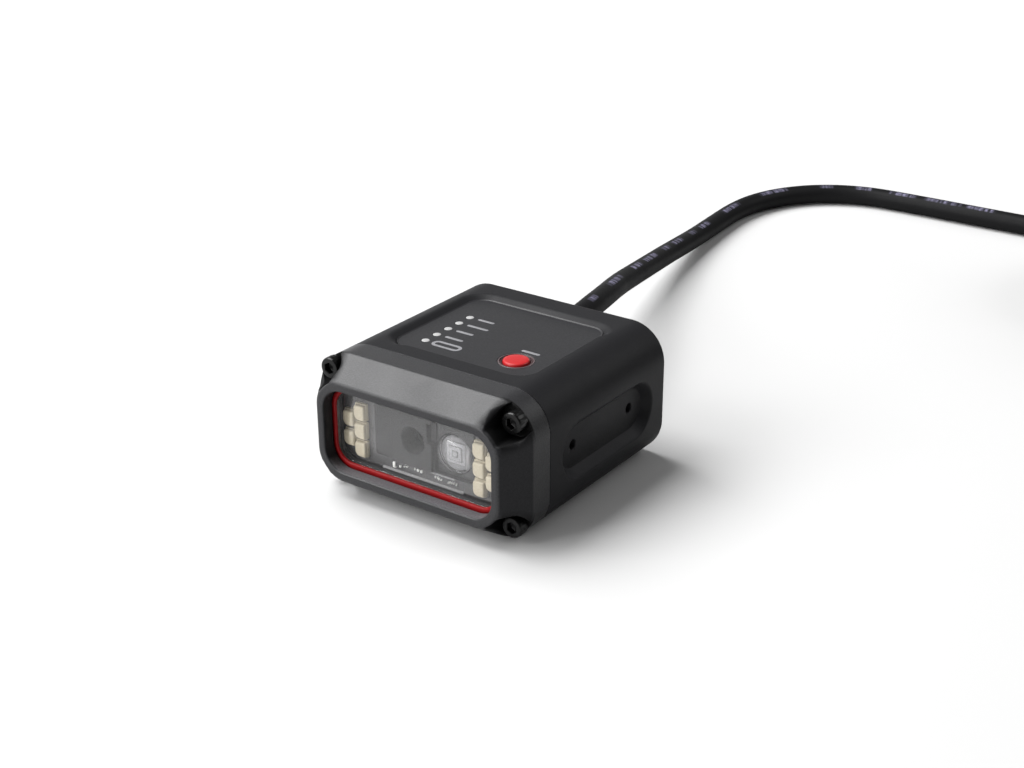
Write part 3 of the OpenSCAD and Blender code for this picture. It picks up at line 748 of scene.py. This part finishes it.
def make_connector():
    s = Shape()
    p, rad = [(0, 0), (4.1, 0), (4.6, 0.8)], [0, 0.2, 0.3]
    for i in range(4):
        h = 1.6 + i * 2.5
        r = 4.72 + (h - 1.6) * 0.1
        p += [(r, h), (r - 0.6, h + 0.35), (r - 0.55, h + 1.1), (r + 0.15, h + 1.5)]
        rad += [0.3, 0.2, 0.2, 0.3]
    p += [(5.8, 12.0), (7.2, 13.5), (7.6, 14.5), (7.6, 15.2), (7.6, 28.2), (7.6, 29.0), (7.0, 30.0), (5.12, 30.0),
          (5.12, 33.4), (5.5, 33.4), (5.5, 34.4), (0, 34.4)]
    rad += [0.5, 0.6, 0.5, 0, 0, 0.4, 0.3, 0.1, 0, 0.1, 0.1, 0]
    prof = rounded_profile(p, rad, 3)
    dense = []
    for a, b in zip(prof[:-1], prof[1:]):
        m = 8 if b[1] - a[1] > 6 else 1
        dense += [(a[0] + (b[0] - a[0]) * k / m, a[1] + (b[1] - a[1]) * k / m) for k in range(m)]
    dense.append(prof[-1])

    def flutes(i, r, h, t):
        depth = 0.32 * min(max((h - 15.2) / 1.2, 0), 1) * min(max((28.2 - h) / 1.2, 0), 1) if r > 7 else 0
        return -depth * np.maximum(np.cos(12 * t), -0.35)

    s.rings(lathe(dense, conn_to, 96, flutes))
    o = s.make("connector_grip", 45)
    return finish_piece(o, "reader", [LOOKS["black_rubber"]], ("connector_body",))


def make_insert():
    holes = [(2.8 * math.cos(q), 2.8 * math.sin(q)) for q in np.radians(np.arange(0, 360, 45))]

    def f(x, y, z):
        d = both(disc(x, y, 4.4), np.abs(z - 39.2) - 4.8, 0.15)
        d = minus(d, both(disc(x - 4.6, y, 0.7), 36.0 - z), 0.1)
        h = disc(x - holes[0][0], y - holes[0][1], 0.5)
        for cx, cy in holes[1:]:
            h = np.minimum(h, disc(x - cx, y - cy, 0.5))
        return minus(d, both(h, 40.0 - z), 0.1)

    o = solid("contact_insert", f, (-4.9, -4.9, 34.0), (4.9, 4.9, 44.4), 0.14, 0.02,
              lambda p: conn_to(p[:, 0], p[:, 1], p[:, 2]))
    return finish_piece(o, "reader", [LOOKS["black_plastic"]], ("connector_insert",))


def make_nut():
    s = Shape()
    p = [(5.2, 33.0), (5.2, 30.4), (6.75, 30.4), (7.05, 30.8), (7.05, 32.0), (6.6, 32.3), (6.6, 32.9), (7.1, 33.2), (7.1, 34.0),
         (7.1, 42.2), (7.1, 42.8), (7.0, 43.5), (6.7, 44.0), (5.95, 44.0)]
    rad = [0, 0.1, 0.15, 0.15, 0.15, 0.1, 0.1, 0.15, 0, 0, 0, 0.2, 0.2, 0.1]
    for i in range(10):
        h = 43.4 - i
        p += [(5.95, h), (5.8, h - 0.3), (5.8, h - 0.5), (5.95, h - 0.8)]
        rad += [0.05] * 4
    p += [(5.85, 33.2)]
    rad += [0]
    prof = rounded_profile(p, rad, 3)

    def knurl(i, r, h, t):
        if r < 6.9 or not 33.5 < h < 42.5:
            return 0 * t
        return -0.34 * np.maximum(np.cos(30 * t), 0) ** 0.8

    s.rings(lathe(prof, conn_to, 240, knurl), loop=True)
    o = s.make("knurled_nut", 35)
    return finish_piece(o, "nut", [LOOKS["nickel"]], ("coupling_nut",))


boot, tie, grip, insert, nut = make_boot(), make_tie(), make_connector(), make_insert(), make_nut()


# ---------------------------------------------------------------- housing and bezel


def housing_at(x, y, z):
    ax = np.abs(x)
    d = both(rr(x, z - ZC, 31.6, 17.7, 9.8), y - YB, 1.5)
    d = both(d, Y_SEAM - y, 0.12)
    inside = both(rr(x, z - ZC, 24.0, 13.5, 6.0), y - 30.3, 1.0)
    d = minus(d, inside, 0.2)
    for py in (-9.0, 17.0):
        post = disc(ax - 20.3, y - py, 2.0)
        d = either(d, np.maximum(both(post, 25.6 - z, 0.15), z - 31.6))
        d = minus(d, np.maximum(disc(ax - 20.3, y - py, 1.0), np.maximum(24.4 - z, z - 29.8)))
    for sy in (-4.0, 23.0):
        d = either(d, np.maximum(both(disc(ax - 18.0, y - sy, 2.6), z - 4.9, 0.15), 3.6 - z))
    # sloped recess and two tapped holes on each side
    run = np.maximum(np.abs(y - 6.8) - 12.5, 0)
    wall = (np.sqrt(run * run + (z - 17.3) ** 2) - 5.4 - 0.913 * np.maximum(ax - 29.3, 0)) / 1.354
    d = minus(d, both(wall, 29.3 - ax, 0.2), 0.25)
    for hy in (-5.7, 19.3):
        d = minus(d, both(disc(y - hy, z - 17.7, 1.25), 24.7 - ax), 0.18)
    # sunk panel on the top
    broad = np.clip(np.maximum(-x - 13.0, y - 17.5) / 5.0, 0, 1)
    slope = 0.35 + 1.35 * broad * broad * (3 - 2 * broad)
    lip = rr(x, y - 5.8, 20.5, 18.6, 5.0) - slope * np.maximum(z - 34.4, 0)
    d = minus(d, both(lip / np.sqrt(1 + slope * slope), 33.6 - z), 0.3)
    holes = disc(x - BUTTON[0], y - BUTTON[1], 3.4)
    for px, py in DOTS:
        holes = np.minimum(holes, disc(x - px, y - py, 1.05))
    d = minus(d, np.maximum(holes, 30.2 - z), 0.1)
    for sz in (-13.3, 13.3):
        d = minus(d, np.maximum(disc(ax - 27.0, z - ZC - sz, 1.5), y + 8.5))
    groove = np.maximum(rr(x, z - ZC, 25.9, 15.4, 7.9), -rr(x, z - ZC, 24.8, 14.3, 6.8))
    d = minus(d, np.maximum(groove, y + 17.2))
    return minus(d, np.maximum(disc(x + 10, z - 20, 5.0), 29.3 - y), 0.15)


def bezel_at(x, y, z):
    ax, az = np.abs(x), np.abs(z - ZC)
    t = (y - YF) / 7.5
    k = 0.05
    t = np.clip(t, 0, 1 + k)
    t = np.where(t > 1 - k, t - (t - 1 + k) ** 2 / (4 * k), t)
    hw, hh, r = 27.0 + 4.6 * t, 13.0 + 4.7 * t, 7.5 + 2.3 * t
    d = rr(x, z - ZC, hw, hh, r) * np.where(t < 1, 0.853, 1.0)
    d = both(d, YF - y, 0.5)
    d = both(d, y - Y_SEAM, 0.12)
    ring = rr(x, z - ZC, 27.0, 13.0, 7.5)
    pocket = both(disc(ax - 27.0, az - 13.3, 4.2), y - SEAT_Y, 0.3)
    soft = 0.3 + np.clip(0.5 * (-25.6 - y), 0, 1.5) * np.clip((ring - 1.0) / 2.0, 0, 1)
    d = minus(d, minus(pocket, ring, 0.3), soft)
    opening = np.maximum(rr(x, z - ZC, 24.95, 10.8, 5.7), y + 28.3)
    d = minus(d, opening, 0.45)
    seat = np.maximum(rr(x, z - ZC, 25.75, 11.6, 6.5), np.maximum(-29.3 - y, y + 26.5))
    d = minus(d, seat)
    d = minus(d, np.maximum(rr(x, z - ZC, 25.0, 10.25, 4.0), np.maximum(-26.6 - y, y + 23.1)), 0.1)
    d = minus(d, np.maximum(rr(x, z - ZC, 24.0, 13.5, 6.0), -23.2 - y), 0.15)
    return minus(d, np.maximum(disc(ax - 27.0, az - 13.3, 1.65), YF + 1.0 - y), 0.1)


housing = solid("housing_shell", housing_at, (-32.4, -19.2, -0.8), (32.4, 34.1, 36.2), 0.27, 0.012)
finish_piece(housing, "reader", [LOOKS["housing_paint"]], ("main_housing",))
bezel = solid("bezel_shell", bezel_at, (-32.4, -33.4, -0.8), (32.4, -17.8, 36.2), 0.22, 0.008)
finish_piece(bezel, "reader", [LOOKS["bezel_paint"]], ("front_bezel",))


# ---------------------------------------------------------------- window


def make_gasket():
    """Soft ring with a rounded lip in front of the glass."""
    s = Shape()
    out, lip, groove, rear = (25.75, 11.6, 6.5), (23.95, 9.4, 4.6), (24.4, 10.1, 5.0), (24.1, 9.8, 4.7)

    def mixed(a, b, f):
        return tuple(a[k] + (b[k] - a[k]) * f for k in range(3))

    rings = [(out, -26.5), (out, -28.9)]
    wall = (24.95, 10.8, 5.7)
    rings.append((wall, -28.85))
    for f, rise in ((0.05, 0.22), (0.14, 0.36), (0.3, 0.43), (0.5, 0.45), (0.7, 0.43), (0.86, 0.34), (0.96, 0.16)):
        rings.append((mixed(wall, lip, f), -28.85 - rise))
    rings += [(lip, -28.75), (groove, -28.75), (groove, -27.25), (rear, -27.25), (rear, -26.5)]
    s.rings([ring_y(*shape, y, n=14) for shape, y in rings], loop=True)
    s.m = [1 if min(s.v[i][1] for i in face) > -28.8 else 0 for face in s.f]
    o = s.make("gasket_bead", 50)
    behind = finish_of("gasket_rear", (0.075, 0.075, 0.077), 0.7, 0.1, grain=1500, bump=0.1)
    return finish_piece(o, "reader", [LOOKS["red_rubber"], behind], ("window_gasket",))


def make_pane():
    s = Shape()
    s.rings([ring_y(24.38 - i, 10.08 - i, 5.0 - i, y, n=12) for i, y in slab(-28.74, -27.26, 0.15, 3)])
    o = s.make("window_pane", 50)
    return finish_piece(o, "reader", [LOOKS["clear_window"]], ("window_glass",))


def make_screws():
    """Socket screws with knurled heads."""
    s = Shape()
    n = 72
    t = np.linspace(0, 2 * math.pi, n, endpoint=False)
    hexed = 1.25 / np.cos((t + math.pi / 6) % (math.pi / 3) - math.pi / 6)
    top = SEAT_Y - 3.0
    for x, z in SCREWS:
        def ring(r, y):
            r = r * np.ones(n)
            return np.stack([x + r * np.cos(t), np.full(n, y), z + r * np.sin(t)], 1)

        tooth = 0.07 * np.where(np.arange(n) % 3 == 0, -1.0, 0.5)
        rings = [ring(0, top + 1.9), ring(hexed * 0.99, top + 1.5), ring(hexed, top + 0.18), ring(hexed + 0.16, top),
                 ring(2.2, top), ring(2.45, top + 0.06), ring(2.62, top + 0.28), ring(2.68 + tooth, top + 0.5),
                 ring(2.68 + tooth, SEAT_Y - 0.5), ring(2.62, SEAT_Y - 0.3), ring(2.62, SEAT_Y), ring(1.5, SEAT_Y)]
        y = SEAT_Y + 5.9
        rings.append(ring(1.5, y))
        while y < -9.6:
            rings += [ring(1.5, y + 0.1), ring(1.26, y + 0.25), ring(1.5, y + 0.4)]
            y += 0.5
        rings += [ring(1.3, -9.1), ring(1.0, -9.0), ring(0, -9.0)]
        s.rings(rings)
    o = s.make("cap_screws", 30)
    return finish_piece(o, "reader", [LOOKS["black_steel"]], ("front_screws",))


make_gasket()
make_pane()
make_screws()


# ---------------------------------------------------------------- top panel


def panel_at(x, y, z):
    edge = rr(x, y - 5.8, 20.45, 18.55, 5.0)
    top = 0.86 * (z - 34.4 - np.maximum(0.25 + 0.6 * edge, 0))
    d = both(both(edge, top, 0.05), 33.6 - z, 0.1)
    holes = disc(x - BUTTON[0], y - BUTTON[1], 4.55)
    for px, py in DOTS:
        holes = np.minimum(holes, disc(x - px, y - py, 1.03))
    return minus(d, holes, 0.08)


panel = solid("panel_plate", panel_at, (-21, -13.4, 33.3), (21, 25.0, 34.7), 0.14, 0.01)
finish_piece(panel, "reader", [LOOKS["panel_film"]], ("top_panel",))


def make_lights():
    s = Shape()
    for x, y in DOTS:
        p = [(0, 26.5), (1.0, 26.5), (1.0, 34.36)] + [(1.0 * math.cos(q), 34.36 + 0.12 * math.sin(q))
                                                      for q in np.radians([20, 40, 60, 75, 90])]
        s.rings(lathe(p, along_z(x, y), 40))
    block_z(s, -15.45, -12.25, 2.7 - 10.465, 2.7 + 10.465, 29.4, 31.2, 0.5, 0.2)
    o = s.make("light_dots", 50)
    return finish_piece(o, "reader", [LOOKS["white_light_pipe"]], ("light_pipe",))


def make_button():
    s = Shape()
    p = [(0, 30.0), (4.3, 30.0), (4.3, 30.8), (3.3, 30.8), (3.3, 34.3), (3.25, 34.52), (3.12, 34.68), (2.92, 34.78),
         (2.6, 34.83), (2.0, 34.86), (1.0, 34.89), (0, 34.9)]
    s.rings(lathe(rounded_profile(p, [0, 0.1, 0.1, 0.1] + [0] * 8), along_z(*BUTTON), 72))
    o = s.make("push_button", 40)
    finish_piece(o, "button", [LOOKS["red_button"]], ("button_cap",))
    s = Shape()
    p = rounded_profile([(3.42, 33.6), (3.42, 34.1), (3.6, 34.22), (3.95, 34.2), (4.15, 34.42), (4.42, 34.42), (4.5, 34.3), (4.5, 33.6)],
                        [0, 0.1, 0.1, 0.08, 0.1, 0.1, 0.1, 0], 3)
    s.rings(lathe(p, along_z(*BUTTON), 72), loop=True)
    # Painted highlight: faces more than 4.2 mm from the button's axis, the ring's outer lip, take a paler grey-brown.
    far = [max(math.hypot(s.v[i][0] - BUTTON[0], s.v[i][1] - BUTTON[1]) for i in face) for face in s.f]
    s.m = [1 if r > 4.2 else 0 for r in far]
    o = s.make("button_ring", 40)
    looks = [finish_of("ring_rubber", lin("#2c1517"), 0.5, 0.3, grain=1500), finish_of("ring_painted_highlight", lin("#4e4446"), 0.45, 0.4, grain=1500)]
    return finish_piece(o, "reader", looks, ("button_seal",))


def make_marks():
    """Plain printed bars beside the indicators and the button."""
    s = Shape()

    def bar(x0, x1, y, t):
        block_z(s, x0, x1, y - t / 2, y + t / 2, 34.37, 34.43, t * 0.49, 0.02, n=6)

    for (x, y), long in zip(DOTS[1:], (5.4, 5.2, 6.4, 5.0)):
        bar(-11.2, -11.2 + long, y, 0.95)
    x, y = DOTS[0]
    outer, inner = rr_pts(4.3, 1.6, 1.59, 10), rr_pts(3.45, 0.72, 0.71, 10)
    at = np.array([-7.3, y])
    rings = []
    for pts, z in ((outer, 34.37), (outer, 34.43), (inner, 34.43), (inner, 34.37)):
        rings.append(np.concatenate([pts + at, np.full((len(pts), 1), z)], 1))
    s.rings(rings, loop=True)
    bar(9.3, 14.6, 1.9, 0.95)
    o = s.make("panel_marks", 40)
    return finish_piece(o, "reader", [LOOKS["print_grey"]])


make_lights()
make_button()
make_marks()


# ---------------------------------------------------------------- behind the window

LED_Y = -25.0


def led_ring(x, z, inset, y):
    """Outline of a lamp's lens: a square with one side round."""
    sharp, soft, rounder = (rr_pts(1.6 - inset, 2.0 - inset, r, 8) for r in (0.22, 0.8 - inset, 1.5 - inset))
    left, low = (sharp[:, 0] < 0)[:, None], (sharp[:, 1] < 0)[:, None]
    p = np.where(left, np.where(low, rounder, soft), sharp)
    return np.stack([x + p[:, 0], np.full(len(p), y), z + p[:, 1]], 1)


def make_leds():
    s = Shape()
    spots = [(x, ZC - 1.6 + 4.9 * k) for x in (-18.9, 17.0) for k in (-1, 0, 1)]
    spots += [(x, ZC - 1.6 + 2.6 * k) for x in (-22.4, 20.7) for k in (-1, 1)]
    for x, z in spots:
        block_y(s, x - 1.7, x + 1.7, LED_Y - 0.9, LED_Y + 0.02, z - 2.2, z + 2.2, 0.2, 0.1)
        rings = []
        for inset, y in ((0.0, LED_Y - 0.85), (0.02, LED_Y - 1.45), (0.06, LED_Y - 1.65), (0.16, LED_Y - 1.8),
                         (0.32, LED_Y - 1.88), (0.5, LED_Y - 1.9)):
            rings.append(led_ring(x, z, inset, y))
        rings.append(np.tile([[x, LED_Y - 1.91, z]], (len(rings[0]), 1)))
        s.rings(rings)
    o = s.make("led_lamps", 50)
    return finish_piece(o, "reader", [LOOKS["led_cream"]], ("illumination_leds",))


def shroud_at(x, y, z):
    zr = z - ZC
    main = both(rr(x, zr - 0.8, 14.9, 7.6, 0.8), np.abs(y + 23.3) - 2.3, 0.25)
    raised = both(rr(x + 3.2, zr - 0.8, 6.2, 7.6, 0.6), np.abs(y + 25.55) - 0.85, 0.25)
    flange = both(rr(x, zr - 0.25, 18.0, 9.15, 0.6), np.abs(y + 23.05) - 0.75, 0.2)
    d = np.minimum(np.minimum(main, raised), flange)
    d = minus(d, disc(x - LENS[0], z - LENS[1], 3.4), 0.35)
    d = minus(d, np.maximum(rr(x - 9.0, zr - 0.8, 5.6, 7.3, 0.6), y + 24.3), 0.15)
    d = minus(d, disc(x - AIM[0], z - AIM[1], 5.2), 0.2)
    notch = np.maximum(rr(x - 2.6, zr - 3.4, 0.9, 2.6, 0.3), y + 24.7)
    return minus(d, notch, 0.1)


def dome_at(x, y, z):
    u, v = x - AIM[0], z - AIM[1]
    r = np.sqrt(u * u + v * v)
    front = -26.1 + 1.9 * (r / 5.1) ** 6 - y
    d = both(both(r - 5.1, 0.55 * front, 0.2), y + 22.9, 0.1)
    return both(both(d, u - 4.7, 0.12), v - 4.75, 0.12)


def make_aimer():
    dome = solid("aimer_dome", dome_at, (2.9, -26.5, 11.3), (13.5, -22.6, 22.0), 0.16, 0.01)
    finish_piece(dome, "reader", [LOOKS["clear_lens"]], ("aimer_lens",))
    s = Shape()
    s.rings(lathe([(0, -22.95), (4.5, -22.95), (4.5, -23.3), (4.35, -23.4), (0, -23.4)], along_y(*AIM), 56), mat=1)
    for half, y0, y1, mat in ((2.95, -23.6, -23.3, 2), (2.7, -23.75, -23.35, 0), (1.95, -23.85, -23.5, 2), (1.72, -24.0, -23.6, 0),
                              (0.85, -24.1, -23.7, 2), (0.65, -24.2, -23.8, 0)):
        block_y(s, AIM[0] - half, AIM[0] + half, y0, y1, AIM[1] - half, AIM[1] + half, 0.25, 0.08, mat)
    o = s.make("aimer_core", 40)
    return finish_piece(o, "reader", [finish_of("core_pale", (0.42, 0.42, 0.424), 0.4, 0.4, grain=1500),
                                     finish_of("core_grey", (0.31, 0.31, 0.313), 0.5, 0.3, grain=1500),
                                     finish_of("core_line", (0.21, 0.21, 0.212), 0.5, 0.3, grain=1500)])


def make_lens():
    s = Shape()
    y0, t, bulge, r = YF + 12.4, 0.8, 0.5, 3.19
    front = [(r * k / 10, y0 - bulge * (1 - (k / 10) ** 2)) for k in range(11)]
    rear = [(r * k / 10, y0 + t + bulge * (1 - (k / 10) ** 2)) for k in range(10, -1, -1)]
    s.rings(lathe(front + rear, along_y(*LENS), 56))
    o = s.make("camera_lens", 50)
    finish_piece(o, "reader", [LOOKS["coated_lens"]], ("front_lens",))
    s = Shape()
    a = YF
    p = [(3.2, a + 11.7), (3.6, a + 11.7), (4.4, a + 11.9), (4.4, a + 13.0), (4.2, a + 13.1), (4.2, a + 13.4), (4.4, a + 13.5),
         (4.4, a + 20.0), (3.2, a + 20.0), (3.2, a + 17.2), (2.6, a + 17.2)]
    for k in range(7):
        p += [(2.6, a + 17.0 - 0.5 * k), (2.75, a + 16.75 - 0.5 * k)]
    p += [(2.6, a + 13.4), (3.2, a + 13.4)]
    s.rings(lathe(p, along_y(*LENS), 56), loop=True)
    o = s.make("lens_tube", 35)
    return finish_piece(o, "reader", [LOOKS["black_plastic"]], ("lens_barrel",))


def make_board_parts():
    """Small parts soldered along the lower edge of the lamp board."""
    s = Shape()
    rows = [(-9.4, -8.3, 0.75, 1.1), (-9.3, -9.0, 0.9, 0.35), (-7.5, -8.4, 0.45, 0.55), (-5.7, -7.15, 0.5, 0.5), (-5.4, -7.9, 0.4, 0.4),
            (-6.2, -8.1, 0.3, 0.3), (-3.0, -7.7, 0.25, 0.7), (-2.05, -7.85, 0.6, 0.6), (-1.0, -7.9, 0.55, 0.7), (3.2, -8.1, 0.22, 0.55),
            (3.9, -8.1, 0.22, 0.6), (4.3, -8.3, 0.22, 0.6), (4.95, -8.35, 0.3, 0.4), (7.1, -8.45, 0.16, 0.5), (7.6, -8.25, 0.16, 0.6),
            (8.15, -8.2, 0.16, 0.6), (8.7, -8.25, 0.16, 0.55), (9.5, -8.3, 0.2, 0.5)]
    for x, z, w, h in rows:
        block_y(s, x - w / 2, x + w / 2, LED_Y - 0.45, LED_Y + 0.02, ZC + z - h / 2, ZC + z + h / 2, 0.08, 0.05, n=2)
    o = s.make("board_parts", 40)
    finish_piece(o, "reader", [LOOKS["ceramic"]])
    s = Shape()
    block_y(s, -12.9, 11.6, LED_Y - 0.5, LED_Y + 0.02, ZC - 10.2, ZC - 9.65, 0.1, 0.06, n=2)
    block_y(s, -3.6, 9.2, LED_Y - 0.75, LED_Y + 0.02, ZC - 7.08, ZC - 6.84, 0.05, 0.04, n=2)
    o = s.make("board_rail", 40)
    return finish_piece(o, "reader", [finish_of("rail_grey", (0.34, 0.34, 0.345), 0.45, 0.4, grain=1700)])


make_leds()
shroud = solid("optics_cover", shroud_at, (-18.5, -26.9, 8.2), (18.6, -20.5, 27.7), 0.2, 0.01)
finish_piece(shroud, "reader", [LOOKS["grey_plastic"]], ("optics_shroud",))
make_aimer()
make_lens()
make_board_parts()


# ---------------------------------------------------------------- pieces kept from the frame

slot_of = {r["node"]: r["material_slot"] for r in frame["record"]["subparts"]}
for name, node in frame["nodes"].items():
    if node.hide_render:
        continue
    look = LOOKS[slot_of[name]]
    if node.material_slots:
        for entry in node.material_slots:
            entry.material = look
    else:
        node.data.materials.append(look)


# ---------------------------------------------------------------- stage and light

stage_mesh = bpy.data.meshes.new("floor")
stage_mesh.from_pydata([(-6, -6, -0.0002), (6, -6, -0.0002), (6, 6, -0.0002), (-6, 6, -0.0002)], [], [(0, 1, 2, 3)])
floor = link("floor", stage_mesh)
floor.data.materials.append(floor_look())

world = bpy.data.worlds.new("studio")
world.use_nodes = True
world.node_tree.nodes["Background"].inputs["Color"].default_value = (1.0, 1.0, 1.0, 1.0)
world.node_tree.nodes["Background"].inputs["Strength"].default_value = 0.12
scene.world = world


def softbox(name, at, aim, width, height, power, colour=(1, 1, 1)):
    data = bpy.data.lights.new(name, "AREA")
    data.shape = "RECTANGLE"
    data.size, data.size_y, data.energy, data.color = width, height, power, colour
    o = bpy.data.objects.new(name, data)
    z = np.array(at, float) - np.array(aim, float)
    z /= np.linalg.norm(z)
    x = np.cross([0, 0, 1], z)
    x /= np.linalg.norm(x)
    y = np.cross(z, x)
    o.matrix_world = Matrix([[x[k], y[k], z[k], at[k]] for k in range(3)] + [[0, 0, 0, 1]])
    scene.collection.objects.link(o)
    return o


softbox("key", (-0.85, -0.08, 1.36), (0, -0.02, 0.02), 1.2, 1.2, 46.0)
softbox("front", (-0.85, -1.1, 0.95), (0, -0.02, 0.02), 1.0, 0.8, 24.0)
softbox("low_front", (-0.35, -1.5, 0.42), (0, -0.02, 0.02), 1.0, 0.6, 9.0)
softbox("rear_right", (0.85, 0.95, 0.95), (0, 0, 0.02), 1.0, 1.0, 6.5)
softbox("backdrop", (-1.0, 1.2, 0.23), (0, 0, 0.03), 2.0, 0.44, 3.0)

fill = softbox("window_fill", (0, -0.0271, ZC * MM), (0, 0, ZC * MM), 0.044, 0.017, 0.0008)
fill.visible_camera = False

scene.view_settings.view_transform = "Standard"
scene.view_settings.look = "None"
scene.view_settings.exposure = 0.0
scene.view_settings.gamma = 1.0

bpy.context.view_layer.update()
